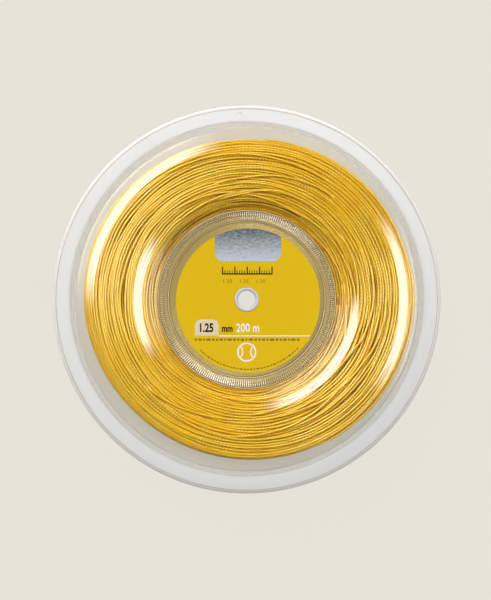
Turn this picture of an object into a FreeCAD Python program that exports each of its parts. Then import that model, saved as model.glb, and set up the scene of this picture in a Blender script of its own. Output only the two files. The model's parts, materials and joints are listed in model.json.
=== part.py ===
import FreeCAD, Part
import math
import os

# A reel of racket string: two clear dished flanges snapped on a barrel, wound with string.
# Lengths are millimetres. The reel lies flat on its rear flange: +Z is the reel's axis,
# Z = 0 is the plane of the rear brim, and +Y points to the top of the front label.

# Whole reel
reel_width = 30.0
rim_r = 100.0
wall_t = 1.5

# Flange, from the rim inwards
lip_w = 1.6
lip_depth = 3.0
brim_w = 7.1
step_run = 2.6
valley_w = 0.7
crown_r = 69.0
crown_drop = 0.4
dome_bend_r = 68.0

# Hub cup in the middle of each flange
land_w = 1.0
cone_run = 5.0
floor_drop = 8.0
floor_fillet_r = 1.5

# Hole in the front brim for the free end of the string
string_hole_r = 0.8
string_hole_mouth_r = 1.3
string_hole_mouth_depth = 0.5
string_hole_inset = 3.0
string_hole_angle = 92.3

# Barrel that carries the winding
barrel_r = 46.4
barrel_wall = 1.6

# Snap ring under each flange, which holds it on the barrel
snap_clearance = 0.1
snap_wall = 1.5
snap_reach = 6.3
snap_bead_back = 1.3
snap_bead_w = 1.6
snap_bead_h = 0.4
snap_slot_count = 8
snap_slot_w = 2.0
seat_lap = 0.3
seat_gap = 0.05

# Spindle tube through the hub
bore_r = 4.5
tube_wall = 1.75
tube_stand = 0.6
tube_mouth = 0.8
collar_w = 1.75
tube_clearance = 0.1

# Labels on the hub floors. The printed disc is cut a little off centre to its own hole.
label_edge_gap = 3.2
label_t = 0.2
label_shift_x = 0.7
label_shift_y = -0.55
label_hole_clearance = 0.1

# Foil patch on the front label
foil_half_w = 17.1
foil_foot_y = 20.1
foil_corner_r = 4.6
foil_t = 0.1

# String
string_d = 1.25
winding_r = 83.0
side_clearance = 0.15
barrel_clearance = 0.2
layer_clearance = 0.1
least_turn_gap = 0.41
tuck_bend_r = 1.6
tuck_clearance = 0.15

# Bands of turns that stand out on both faces of the winding, and how deep it is between them
band_count = 4
band_sink = 0.9

# Places that follow from the sizes above
brim_outer_r = rim_r - lip_w
brim_inner_r = brim_outer_r - brim_w
step_foot_r = brim_inner_r - step_run
dome_outer_r = step_foot_r - valley_w
cone_top_r = barrel_r - land_w
cone_foot_r = cone_top_r - cone_run
barrel_bore_r = barrel_r - barrel_wall
snap_r = barrel_bore_r - snap_clearance
tube_r = bore_r + tube_wall
collar_r = tube_r + collar_w
label_r = cone_foot_r - label_edge_gap
hub_hole_r = tube_r + tube_clearance

FULL_TURN = 360.0
AXIS_POINT = FreeCAD.Vector(0, 0, 0)
AXIS = FreeCAD.Vector(0, 0, 1)


def at(r, z):
    """A point of a section: r from the reel's axis, z up."""
    return FreeCAD.Vector(r, 0, z)


def dome_drop(r, depth):
    """How far the dome lies below the brim plane at radius r, depth under its outer skin."""
    bend = dome_bend_r - depth
    return crown_drop + depth + bend - math.sqrt(bend ** 2 - (r - crown_r) ** 2)


def dome_reach(drop, depth):
    """Radius outside the crown where the dome, depth under its outer skin, has that drop."""
    bend = dome_bend_r - depth
    fall = drop - crown_drop - depth
    return crown_r + math.sqrt(bend ** 2 - (bend - fall) ** 2)


def turned(edges):
    """A solid of revolution about the reel's axis from the closed section that the edges make."""
    section = Part.Face(Part.Wire(edges))
    return section.revolve(AXIS_POINT, AXIS, FULL_TURN)


def line(start, end):
    return Part.LineSegment(start, end).toShape()


def arc(start, middle, end):
    return Part.Arc(start, middle, end).toShape()


def mirrored(shape):
    """The same piece on the other side of the reel's middle plane."""
    return shape.mirror(FreeCAD.Vector(0, 0, reel_width / 2), AXIS)


land_drop = dome_drop(barrel_r, 0)
valley_drop = dome_drop(dome_outer_r, 0)
seat_r = barrel_r + seat_lap
seat_drop = dome_drop(seat_r, wall_t)
snap_drop = seat_drop + snap_reach
bead_drop = snap_drop - snap_bead_back
floor_z = reel_width - floor_drop


def flange_outside():
    """Edges of the flange's outer skin, from the hub hole out to the foot of the lip."""
    top = reel_width
    cone_rise = floor_drop - land_drop
    cone_length = math.hypot(cone_run, cone_rise)
    lean = math.atan2(cone_rise, cone_run)
    tangent = floor_fillet_r * math.tan(lean / 2)
    corner = at(cone_foot_r, floor_z)
    up_cone = at(cone_run / cone_length, cone_rise / cone_length)
    fillet_start = corner - at(tangent, 0)
    fillet_end = corner + up_cone * tangent
    fillet_centre = fillet_start + at(0, floor_fillet_r)
    fillet_middle = fillet_centre + at(math.sin(lean / 2), -math.cos(lean / 2)) * floor_fillet_r
    lip_centre = at(brim_outer_r, top - lip_w)
    lip_middle = lip_centre + at(math.sqrt(0.5), math.sqrt(0.5)) * lip_w
    foot_z = top - lip_depth + lip_w / 2
    return [
        line(at(hub_hole_r, floor_z), fillet_start),
        arc(fillet_start, fillet_middle, fillet_end),
        line(fillet_end, at(cone_top_r, top - land_drop)),
        line(at(cone_top_r, top - land_drop), at(barrel_r, top - land_drop)),
        arc(at(barrel_r, top - land_drop), at(crown_r, top - crown_drop),
            at(dome_outer_r, top - valley_drop)),
        line(at(dome_outer_r, top - valley_drop), at(step_foot_r, top - valley_drop)),
        line(at(step_foot_r, top - valley_drop), at(brim_inner_r, top)),
        line(at(brim_inner_r, top), at(brim_outer_r, top)),
        arc(at(brim_outer_r, top), lip_middle, at(rim_r, top - lip_w)),
        line(at(rim_r, top - lip_w), at(rim_r, foot_z)),
        arc(at(rim_r, foot_z), at(rim_r - lip_w / 2, top - lip_depth), at(brim_outer_r, foot_z)),
    ]


def flange_inside():
    """Edges of the flange's inner skin, from the foot of the lip in to the hub hole."""
    top = reel_width
    foot_z = top - lip_depth + lip_w / 2
    step_length = math.hypot(step_run, valley_drop)
    # The inner face of the step runs parallel to its outer face, one wall away.
    step_shift = wall_t * step_length / valley_drop

    def step_at(drop):
        return brim_inner_r + step_shift - drop * step_run / valley_drop

    # So does the inner face of the cone.
    cone_rise = floor_drop - land_drop
    cone_shift = wall_t * math.hypot(cone_run, cone_rise) / cone_rise

    def cone_at(drop):
        return cone_top_r + cone_shift - (drop - land_drop) * cone_run / cone_rise

    snap_inner_r = snap_r - snap_wall
    snap_top_drop = land_drop + (cone_top_r + cone_shift - snap_inner_r) * cone_rise / cone_run
    valley_under = valley_drop + wall_t
    floor_under = floor_drop + wall_t
    bead_start = bead_drop - snap_bead_w / 2
    bead_end = bead_drop + snap_bead_w / 2
    points = [
        at(brim_outer_r, foot_z),
        at(brim_outer_r, top - wall_t),
        at(step_at(wall_t), top - wall_t),
        at(step_at(valley_under), top - valley_under),
        at(dome_reach(valley_under, wall_t), top - valley_under),
    ]
    edges = [line(a, b) for a, b in zip(points, points[1:])]
    edges.append(arc(points[-1], at(crown_r, top - crown_drop - wall_t), at(seat_r, top - seat_drop)))
    points = [
        at(seat_r, top - seat_drop),
        at(snap_r, top - seat_drop),
        at(snap_r, top - bead_start),
    ]
    edges += [line(a, b) for a, b in zip(points, points[1:])]
    edges.append(arc(at(snap_r, top - bead_start), at(snap_r + snap_bead_h, top - bead_drop),
                     at(snap_r, top - bead_end)))
    points = [
        at(snap_r, top - bead_end),
        at(snap_r, top - snap_drop),
        at(snap_inner_r, top - snap_drop),
        at(snap_inner_r, top - snap_top_drop),
        at(cone_at(floor_under), top - floor_under),
        at(hub_hole_r, top - floor_under),
        at(hub_hole_r, floor_z),
    ]
    edges += [line(a, b) for a, b in zip(points, points[1:])]
    return edges


def snap_slots():
    """Slots that part the snap ring into springy fingers, below the hub floor."""
    slot_top = reel_width - floor_drop - 2 * wall_t
    slot_foot = reel_width - snap_drop - wall_t
    inner = snap_r - 2 * snap_wall
    outer = snap_r + snap_bead_h + wall_t
    slots = []
    for i in range(snap_slot_count):
        slot = Part.makeBox(outer - inner, snap_slot_w, slot_top - slot_foot,
                            FreeCAD.Vector(inner, -snap_slot_w / 2, slot_foot))
        slot.rotate(AXIS_POINT, AXIS, i * FULL_TURN / snap_slot_count)
        slots.append(slot)
    return slots


def string_hole():
    """Drill for the brim hole that takes the free end of the string, with its wide mouth."""
    r = brim_outer_r - string_hole_inset
    angle = math.radians(string_hole_angle)
    centre = FreeCAD.Vector(r * math.cos(angle), r * math.sin(angle), reel_width - 2 * wall_t)
    drill = Part.makeCylinder(string_hole_r, 3 * wall_t, centre)
    mouth_foot = centre + FreeCAD.Vector(0, 0, 2 * wall_t - string_hole_mouth_depth)
    mouth = Part.makeCone(string_hole_r, string_hole_mouth_r, string_hole_mouth_depth, mouth_foot)
    return drill.fuse(mouth)


def flange():
    """The flange as both halves have it, in the front flange's place."""
    return turned(flange_outside() + flange_inside()).cut(snap_slots())


def barrel():
    """Tube that the string is wound on, with a groove near each end for the snap beads."""
    foot = seat_drop + seat_gap
    top = reel_width - foot
    groove_h = snap_bead_h + snap_clearance
    groove_half = snap_bead_w / 2 + snap_clearance
    upper = reel_width - bead_drop

    def groove(middle):
        return arc(at(barrel_bore_r, middle - groove_half), at(barrel_bore_r + groove_h, middle),
                   at(barrel_bore_r, middle + groove_half))

    return turned([
        line(at(barrel_r, top), at(barrel_r, foot)),
        line(at(barrel_r, foot), at(barrel_bore_r, foot)),
        line(at(barrel_bore_r, foot), at(barrel_bore_r, bead_drop - groove_half)),
        groove(bead_drop),
        line(at(barrel_bore_r, bead_drop + groove_half), at(barrel_bore_r, upper - groove_half)),
        groove(upper),
        line(at(barrel_bore_r, upper + groove_half), at(barrel_bore_r, top)),
        line(at(barrel_bore_r, top), at(barrel_r, top)),
    ])


def spindle_tube():
    """Tube that the stand's spindle goes through, trapped between the two hub floors."""
    end = floor_drop - tube_stand
    shoulder = floor_drop + wall_t + seat_gap
    mouth_r = bore_r + tube_mouth
    half = [
        at(mouth_r, end),
        at(tube_r, end),
        at(tube_r, shoulder),
        at(collar_r, shoulder),
    ]
    outside = half + [at(p.x, reel_width - p.z) for p in reversed(half)]
    inside = [at(bore_r, reel_width - end - tube_mouth), at(bore_r, end + tube_mouth)]
    loop = outside + inside
    return turned([line(a, b) for a, b in zip(loop, loop[1:] + loop[:1])])


def label():
    """Paper label on the front hub floor."""
    centre = FreeCAD.Vector(label_shift_x, label_shift_y, floor_z)
    disc = Part.makeCylinder(label_r, label_t, centre)
    hole = Part.makeCylinder(tube_r + label_hole_clearance, 3 * label_t,
                             FreeCAD.Vector(0, 0, floor_z - label_t))
    return disc.cut(hole)


def foil_patch():
    """Scratched silver patch on the front label, cut off by the label's round edge."""
    foot_z = floor_z + label_t
    centre = FreeCAD.Vector(label_shift_x, label_shift_y, foot_z)
    height = label_r - foil_foot_y
    plate = Part.makeBox(2 * foil_half_w, height + foil_corner_r, foil_t,
                         centre + FreeCAD.Vector(-foil_half_w, foil_foot_y, 0))
    corners = []
    for edge in plate.Edges:
        middle = edge.CenterOfMass
        upright = abs(middle.z - foot_z - foil_t / 2) < foil_t / 4
        if upright and middle.y < centre.y + foil_foot_y + foil_t:
            corners.append(edge)
    rounded = plate.makeFillet(foil_corner_r, corners)
    return rounded.common(Part.makeCylinder(label_r, foil_t, centre))


# Winding
pack_depth = wall_t + side_clearance
turn_r = winding_r - string_d / 2
core_r = winding_r - string_d - layer_clearance
end_drop = dome_drop(winding_r, pack_depth) + string_d / 2
turn_travel = reel_width - 2 * end_drop
turn_count = int(turn_travel / (string_d + least_turn_gap))
turn_pitch = turn_travel / turn_count
QUARTERS = 4
POINTS_PER_ARC = 24


def along(angle):
    """Directions at that angle round the reel: outwards, and on along a turn."""
    outward = FreeCAD.Vector(math.cos(angle), math.sin(angle), 0)
    onward = FreeCAD.Vector(-math.sin(angle), math.cos(angle), 0)
    return outward, onward


def arc_from(start, heading, end):
    """The arc that leaves start along heading and reaches end."""
    chord = end - start
    side = heading - chord * (heading.dot(chord) / chord.dot(chord))
    if side.Length < 1e-9:
        return line(start, end)
    half_sweep = heading.getAngle(chord)
    bulge = chord.Length / 2 * math.tan(half_sweep / 2)
    middle = (start + end) * 0.5 + side.normalize() * bulge
    return arc(start, middle, end)


def biarc(start, heading, end, final):
    """Two arcs that meet smoothly and run from start along heading to end along final."""
    span = end - start
    both = heading + final
    spread = 2 * (1 - heading.dot(final))
    reach = (math.sqrt(span.dot(both) ** 2 + spread * span.dot(span)) - span.dot(both)) / spread
    joint = (start + end + (heading - final) * reach) * 0.5
    first = arc_from(start, heading, joint)
    last = arc_from(end, final * -1, joint)
    return [first, last]


def tuck(angle, z, sign):
    """Edges of a string end tucked into the pack, given from its tip, and where it bends up.

    sign is 1 where the turns start and -1 where they stop.
    """
    outward, onward = along(angle)
    surface = outward * turn_r + FreeCAD.Vector(0, 0, z)
    bend_centre = surface - outward * tuck_bend_r
    bend_foot = bend_centre - onward * (sign * tuck_bend_r)
    bend_middle = bend_centre + (outward - onward * sign) * (tuck_bend_r * math.sqrt(0.5))
    tip = bend_foot - outward * string_d
    return tip, [line(tip, bend_foot), arc(bend_foot, bend_middle, surface)]


def turn_path():
    """Centre line of the outer layer: a tuck, the turns as quarter-turn biarcs, and a tuck."""
    steps = QUARTERS * turn_count
    slope = turn_pitch / (2 * math.pi * turn_r)
    edges = tuck(0, end_drop, 1)[1]
    for i in range(steps):
        ends = []
        for k in (i, i + 1):
            outward, onward = along(2 * math.pi * k / QUARTERS)
            place = outward * turn_r + FreeCAD.Vector(0, 0, end_drop + turn_travel * k / steps)
            level = k in (0, steps)
            heading = onward if level else (onward + FreeCAD.Vector(0, 0, slope)).normalize()
            ends += [place, heading]
        edges += biarc(*ends)
    edges += reversed(tuck(0, reel_width - end_drop, -1)[1])
    return edges


def string_turns():
    """The outer layer of string, one unbroken tube, and the points that measure its gap."""
    edges = turn_path()
    path = Part.Wire(edges)
    tip = tuck(0, end_drop, 1)[0]
    outward = along(0)[0]
    ring = Part.Wire(Part.makeCircle(string_d / 2, tip, outward))
    tube = path.makePipeShell([ring], True, False)
    points = []
    for edge in edges[2:-2]:
        points += edge.discretize(POINTS_PER_ARC)[:-1]
    return tube, path, points


def tuck_pocket(z, sign):
    """Notch in the pack's outer edge that takes a tucked end of the outer layer."""
    depth = tuck_bend_r + string_d
    half = string_d / 2 + tuck_clearance
    length = tuck_bend_r + 2 * half
    width = half + string_d + pack_depth
    start_y = -tuck_bend_r - half if sign > 0 else tuck_bend_r + half - length
    start_z = z + half - width if sign > 0 else z - half
    return Part.makeBox(depth + string_d, length, width,
                        FreeCAD.Vector(turn_r - depth, start_y, start_z))


def banded_face(inner_r, outer_r):
    """Edges of the pack's front face, from the barrel outwards: bands that crown under the dome."""
    band_w = (outer_r - inner_r) / band_count
    edges = []
    for i in range(band_count):
        points = []
        for share, sink in ((0, band_sink), (0.5, 0), (1, band_sink)):
            r = inner_r + (i + share) * band_w
            points.append(at(r, reel_width - dome_drop(r, pack_depth + sink)))
        edges.append(arc(*points))
    return edges


def string_pack():
    """All the string under the outer layer, as one banded core with a notch for each tuck."""
    inner_r = barrel_r + barrel_clearance
    inner_drop = dome_drop(inner_r, pack_depth + band_sink)
    outer_drop = dome_drop(core_r, pack_depth + band_sink)
    front = banded_face(inner_r, core_r)
    rear = [mirrored(edge) for edge in reversed(front)]
    barrel_side = line(at(inner_r, inner_drop), at(inner_r, reel_width - inner_drop))
    turns_side = line(at(core_r, reel_width - outer_drop), at(core_r, outer_drop))
    core = turned([barrel_side, *front, turns_side, *rear])
    return core.cut([tuck_pocket(end_drop, 1), tuck_pocket(reel_width - end_drop, -1)])


def least_gap(points):
    """Least gap of the outer layer to itself, between points over half a turn apart."""
    per_half_turn = len(points) // (2 * turn_count)
    nearest = 4 * turn_r ** 2
    coords = [(p.x, p.y, p.z) for p in points]
    for i, (x, y, z) in enumerate(coords):
        for u, v, w in coords[i + per_half_turn:i + 3 * per_half_turn + 1]:
            square = (x - u) ** 2 + (y - v) ** 2 + (z - w) ** 2
            nearest = min(nearest, square)
    return math.sqrt(nearest) - string_d


os.makedirs("parts", exist_ok=True)
turns, turns_path, turns_points = string_turns()
half_shape = flange()
pieces = {
    "front_flange": half_shape.cut(string_hole()),
    "rear_flange": mirrored(half_shape),
    "barrel": barrel(),
    "spindle_tube": spindle_tube(),
    "string_pack": string_pack(),
    "string_turns": turns,
    "front_label": label(),
    "rear_label": mirrored(label()),
    "foil_patch": foil_patch(),
}
for name, shape in pieces.items():
    shape.exportStep(os.path.join("parts", name + ".step"))
    print(name, "solids", len(shape.Solids), "valid", shape.isValid(), "volume", round(shape.Volume, 1))

section_area = math.pi * string_d ** 2 / 4
print("turns", turn_count, "pitch", round(turn_pitch, 3), "length", round(turns_path.Length, 1))
print("volume over section times length", round(turns.Volume / (section_area * turns_path.Length), 5))
print("least gap of the outer layer to itself", round(least_gap(turns_points), 3))
print("bend radii of the tucked ends", tuck_bend_r, "string", string_d)
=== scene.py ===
# A reel of yellow racket string between two clear flanges, seen face on from above.
import json
import math

import bpy
import numpy as np
from bpy.props import FloatProperty, FloatVectorProperty, IntProperty, PointerProperty
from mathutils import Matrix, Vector

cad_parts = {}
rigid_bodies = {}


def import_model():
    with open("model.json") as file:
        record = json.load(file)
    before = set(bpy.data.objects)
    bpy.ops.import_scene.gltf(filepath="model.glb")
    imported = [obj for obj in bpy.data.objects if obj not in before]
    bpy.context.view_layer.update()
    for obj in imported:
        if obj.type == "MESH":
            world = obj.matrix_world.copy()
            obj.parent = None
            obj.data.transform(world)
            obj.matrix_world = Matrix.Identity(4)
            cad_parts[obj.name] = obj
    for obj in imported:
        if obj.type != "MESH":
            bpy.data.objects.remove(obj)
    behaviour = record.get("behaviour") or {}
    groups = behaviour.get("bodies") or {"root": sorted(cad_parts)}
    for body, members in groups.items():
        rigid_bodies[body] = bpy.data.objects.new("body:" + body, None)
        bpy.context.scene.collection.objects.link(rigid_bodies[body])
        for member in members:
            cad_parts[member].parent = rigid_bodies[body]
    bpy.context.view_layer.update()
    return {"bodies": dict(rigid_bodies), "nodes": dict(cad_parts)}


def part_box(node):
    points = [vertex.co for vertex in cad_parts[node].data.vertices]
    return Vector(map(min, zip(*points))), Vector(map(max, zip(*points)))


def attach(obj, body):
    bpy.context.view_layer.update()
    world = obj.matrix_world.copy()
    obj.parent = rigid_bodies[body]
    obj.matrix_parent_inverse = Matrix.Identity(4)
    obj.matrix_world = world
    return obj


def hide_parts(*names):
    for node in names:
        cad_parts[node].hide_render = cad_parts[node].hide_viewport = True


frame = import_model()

bl_info = {
    "name": "String reel",
    "version": (1, 0, 0),
    "blender": (4, 5, 0),
    "location": "3D View > Sidebar > Reel",
    "description": "Builds a reel of racket string around its packed frame",
    "category": "Object",
}

BODY = "root" if "root" in frame["bodies"] else next(iter(frame["bodies"]))

# Corners of the frame's solids that the pieces are fitted to
FLANGE_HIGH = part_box("front_flange")[1]
LABEL_LOW, LABEL_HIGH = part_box("front_label")
FOIL_LOW, FOIL_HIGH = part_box("foil_patch")
BARREL_LOW, BARREL_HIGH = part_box("barrel")
TUBE_LOW, TUBE_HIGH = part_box("spindle_tube")
TURNS_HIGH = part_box("string_turns")[1]

TAU = 2 * math.pi
MM = 0.001


def length(name, description, default):
    return FloatProperty(name=name, description=description, default=default, unit="LENGTH", precision=5)


def colour(name, description, default):
    return FloatVectorProperty(name=name, description=description, default=default, subtype="COLOR",
                               size=3, min=0.0, max=1.0)


class ReelSizes(bpy.types.PropertyGroup):
    """Sizes of the clear flanges and the hub, in metres."""

    width: length("Reel width", "From the rear brim's plane to the front one", FLANGE_HIGH.z)
    rim_r: length("Rim radius", "Outer radius of both flanges", FLANGE_HIGH.x)
    wall: length("Wall", "Thickness of the clear flanges", 0.0015)
    lip_w: length("Lip width", "Rounded edge that turns down outside the brim", 0.0016)
    lip_depth: length("Lip depth", "How far the lip hangs below the brim's plane", 0.0030)
    brim_w: length("Brim width", "Flat ring that the reel lies on", 0.0071)
    step_run: length("Step run", "Radial width of the sloping step inside the brim", 0.0026)
    valley_w: length("Valley width", "Flat ring between the step and the dome", 0.0007)
    crown_r: length("Crown radius", "Radius at which the dome is highest", 0.069)
    crown_drop: length("Crown drop", "Crown below the brim's plane", 0.0004)
    dome_bend_r: length("Dome bend", "Radius of the dome's section", 0.068)
    barrel_r: length("Barrel radius", "Outer radius of the barrel", BARREL_HIGH.x)
    barrel_wall: length("Barrel wall", "Thickness of the barrel", 0.0016)
    land_w: length("Land width", "Flat ring between the dome and the cup", 0.001)
    cone_run: length("Cone run", "Radial width of the cup's ribbed cone", 0.005)
    floor_drop: length("Floor drop", "Hub floor below the brim's plane", FLANGE_HIGH.z - LABEL_LOW.z)
    snap_reach: length("Snap ring reach", "How far the snap ring hangs under its seat", 0.0063)
    hub_hole_r: length("Hub hole", "Hole in the hub floor for the spindle tube", 0.00635)
    bore_r: length("Bore", "Radius of the bore through the spindle tube", 0.0045)
    string_hole_r: length("String hole", "Radius of the small hole in the front brim", 0.0008)
    string_hole_mouth: length("String hole mouth", "Radius of the hole's wide mouth", 0.0013)
    string_hole_inset: length("String hole inset", "Hole's axis inside the brim's outer edge", 0.003)
    floor_bend_r: length("Floor bend", "Radius of the bend where the cone leaves the hub floor", 0.0006)
    rib_w: length("Rib width", "Width of each fine rib on the cup's cone", 0.00050)
    rib_h: length("Rib height", "Height of the fine ribs on the cup's cone", 0.00026)
    floor_rib_h: length("Floor rib height", "Height of the faint ribs under the hub floor", 0.00009)
    floor_rib_r: length("Floor ribs from", "Inner radius of the faint ribs", 0.0365)
    rib_count: IntProperty(name="Ribs", description="Fine radial ribs round the cup's cone", default=252)


class WindingSizes(bpy.types.PropertyGroup):
    """Sizes of the string and of the way that it lies, in metres."""

    string_d: length("String diameter", "Gauge of the string", 0.00125)
    outer_r: length("Winding radius", "Mean outer radius of the winding", TURNS_HIGH.x + 0.0002)
    side_gap: length("Side gap", "Between the string and the flanges", 0.00010)
    ride_up: length("Ride up", "Room above the first layer for strands that cross over it", 0.00070)
    layer_step: length("Layer step", "From one layer of strands down to the next", 0.00108)
    wander: length("Wander", "How far whole bundles of turns drift to the side", 0.00060)
    stray: length("Stray", "How far a single strand strays from its bundle", 0.00019)
    barrel_sink: length("Sink at the barrel", "How far the turns lie lower beside the barrel", 0.0030)
    top_sink: length("Sink at the top", "How much lower yet they lie on the barrel's upper side", 0.0045)
    barrel_reach: length("Reach at the barrel", "Radial reach of that sunk shoulder", 0.0038)
    edge_sink: length("Sink at the edge", "How far the turns lie lower at the outer edge", 0.0013)
    edge_reach: length("Reach at the edge", "Radial reach of that sunk shoulder", 0.0024)
    gap_depth: length("Gap depth", "How much deeper the turns below lie where those above part", 0.0017)
    band_sink: length("Band sink", "Depth between the bands of turns on each face", 0.00045)
    band_count: IntProperty(name="Bands", description="Shallow bands of turns on each face", default=4)


class Finishes(bpy.types.PropertyGroup):
    """Colours of the reel, as linear values."""

    string: colour("String", "Golden monofilament", (0.94, 0.56, 0.009))
    # Painted shade: the deeper gold on each strand's sides, where neighbouring strands meet.
    string_side_shade: colour("String's side", "Deeper gold where neighbouring strands meet", (0.70, 0.32, 0.003))
    # Painted shade: the deeper gold on the sides of the winding's outer strands, where neighbouring turns
    # meet.
    string_rim_shade: colour("Outer string", "Golden monofilament on the winding's outside", (0.78, 0.44, 0.008))
    # Painted glints: the pale colour painted on the raised nubs' upper sides.
    string_nub_glint: colour("String's nubs", "Pale raised nubs along the string", (1.0, 0.78, 0.16))
    core: colour("Core", "String in deep shade under the turns", (0.22, 0.085, 0.005))
    label: colour("Label", "Yellow printed paper", (0.74, 0.48, 0.008))
    ink: colour("Ink", "Dark print on the label", (0.010, 0.009, 0.008))
    faint_ink: colour("Faint ink", "Small dark print, half covering", (0.24, 0.17, 0.02))
    white_ink: colour("White ink", "White print on the label", (0.88, 0.88, 0.84))
    tab: colour("Tab", "Pale grey printed tab", (0.74, 0.72, 0.68))
    foil: colour("Foil", "Silver patch", (0.56, 0.61, 0.66))
    hub: colour("Hub", "Pale moulded spindle tube", (0.66, 0.64, 0.69))
    brim: colour("Brim", "Pale tint of the milky brim", (0.955, 0.96, 0.95))
    # Painted light: the ribs' pale gold stands in for their sheen and for the string's gold bounced into the
    # hub.
    ribs: colour("Ribs", "Pale tint of the moulded ribs", (0.80, 0.72, 0.50))
    # Painted light: the barrel is clear, and its gold stands in for the string's light that it catches.
    barrel: colour("Barrel", "Tint of the clear barrel, which catches the string's gold", (0.98, 0.93, 0.78))
    # Painted shade: a tan line standing in for the lip's inner wall seen edge on.
    brim_shade_line: colour("Brim line", "Tan line where the brim meets its lip", (0.62, 0.54, 0.46))
    # Painted light: the cup is clear, and its gold stands in for the string's light bounced into it.
    cup: colour("Cup", "Tint of the hub cup, which catches the string's gold", (0.96, 0.84, 0.52))
    floor: colour("Floor", "Pale studio floor", (0.791, 0.775, 0.694))


# Modelling helpers


def nothing_selected():
    for obj in bpy.context.view_layer.objects:
        obj.select_set(False)


def only(obj):
    nothing_selected()
    obj.select_set(True)
    bpy.context.view_layer.objects.active = obj


def in_scene(name, data):
    """New object with this mesh or camera, in the scene."""
    obj = bpy.data.objects.new(name, data)
    bpy.context.scene.collection.objects.link(obj)
    return obj


def finished(obj, name, material, slot, *nodes):
    """Name a finished piece, give it its material and tie it to the frame."""
    obj.name = obj.data.name = name
    obj.data.materials.clear()
    obj.data.materials.append(material)
    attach(obj, BODY)
    if nodes:
        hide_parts(*nodes)
    return obj


def gathered(name, *objects):
    """Objects in a collection of their own, for a lamp that only shows in their gloss."""
    group = bpy.data.collections.new(name)
    for obj in objects:
        group.objects.link(obj)


def arc_points(centre, radius, start, end, count):
    """Points of an arc, from one angle to another, in degrees."""
    angles = np.radians(np.linspace(start, end, count))
    return [(centre[0] + radius * math.cos(a), centre[1] + radius * math.sin(a)) for a in angles]


def fillet(before, corner, after, radius, count=4):
    """Points that round the corner between two straight runs of an outline."""
    corner = Vector(corner)
    back = (Vector(before) - corner).normalized()
    on = (Vector(after) - corner).normalized()
    half = back.angle(on) / 2
    start = corner + back * radius / math.tan(half)
    end = corner + on * radius / math.tan(half)
    centre = corner + (back + on).normalized() * radius / math.sin(half)
    points = []
    for i in range(count + 1):
        ray = (start - centre).lerp(end - centre, i / count).normalized()
        points.append(tuple(centre + ray * radius))
    return points


def rounded(corners, radii, count=4):
    """Closed outline with each corner rounded by its own radius."""
    points = []
    for i, (corner, radius) in enumerate(zip(corners, radii)):
        before, after = corners[i - 1], corners[(i + 1) % len(corners)]
        points += fillet(before, corner, after, radius, count) if radius else [corner]
    return points


def spun(outline, steps):
    """Spin a closed section of (radius, height) points round the reel's axis."""
    nothing_selected()
    bpy.ops.mesh.primitive_circle_add(vertices=len(outline), radius=outline[0][0])
    obj = bpy.context.active_object
    for vertex, (r, z) in zip(obj.data.vertices, outline):
        vertex.co = (r, 0, z)
    bpy.ops.object.mode_set(mode="EDIT")
    bpy.ops.mesh.select_all(action="SELECT")
    bpy.ops.mesh.spin(steps=steps, angle=TAU, center=(0, 0, 0), axis=(0, 0, 1))
    bpy.ops.mesh.select_all(action="SELECT")
    bpy.ops.mesh.remove_doubles(threshold=1e-6)
    bpy.ops.mesh.normals_make_consistent(inside=False)
    bpy.ops.object.mode_set(mode="OBJECT")
    return obj


def smoothed(obj, degrees=30):
    only(obj)
    bpy.ops.object.shade_smooth_by_angle(angle=math.radians(degrees))
    return obj


def mirrored_copy(obj, width):
    """The same mesh on the other side of the reel's middle plane, as its own object."""
    only(obj)
    bpy.ops.object.duplicate()
    twin = bpy.context.active_object
    for vertex in twin.data.vertices:
        vertex.co.z = width - vertex.co.z
    bpy.ops.object.mode_set(mode="EDIT")
    bpy.ops.mesh.select_all(action="SELECT")
    bpy.ops.mesh.flip_normals()
    bpy.ops.object.mode_set(mode="OBJECT")
    return twin


def cut_by_new(obj):
    """Cut the primitive that was just added out of a closed mesh."""
    cutter = bpy.context.active_object
    bpy.ops.object.transform_apply(location=True, rotation=True, scale=True)
    only(obj)
    cut = obj.modifiers.new("cut", "BOOLEAN")
    cut.object = cutter
    cut.solver = "EXACT"
    bpy.ops.object.modifier_apply(modifier=cut.name)
    bpy.data.objects.remove(cutter)


def joined(objects):
    only(objects[0])
    for obj in objects[1:]:
        obj.select_set(True)
    bpy.ops.object.join()
    return objects[0]


# Material helpers

CLEAR_PLASTIC_IOR = 1.59
STRING_IOR = 1.6
NUB_STEP = 1.8 * MM
STRIPE_STEP = 1.1 * MM


def scaled(shade, factor):
    """A colour made lighter or darker, with no part of it above 1."""
    return tuple(min(1.0, part * factor) for part in shade)


def new_material(name):
    material = bpy.data.materials.new(name)
    material.use_nodes = True
    tree = material.node_tree
    tree.nodes.clear()
    output = tree.nodes.new("ShaderNodeOutputMaterial")
    shader = tree.nodes.new("ShaderNodeBsdfPrincipled")
    tree.links.new(shader.outputs["BSDF"], output.inputs["Surface"])
    return material, tree, shader, output


def noise(tree, vector, scale, detail=3.0, roughness=0.5):
    node = tree.nodes.new("ShaderNodeTexNoise")
    node.inputs["Scale"].default_value = scale
    node.inputs["Detail"].default_value = detail
    node.inputs["Roughness"].default_value = roughness
    tree.links.new(vector, node.inputs["Vector"])
    return node.outputs["Fac"]


def stretched(tree, vector, scale):
    """The same places with each axis scaled, for a pattern that runs one way."""
    node = tree.nodes.new("ShaderNodeMapping")
    node.inputs["Scale"].default_value = scale
    tree.links.new(vector, node.inputs["Vector"])
    return node.outputs["Vector"]


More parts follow.
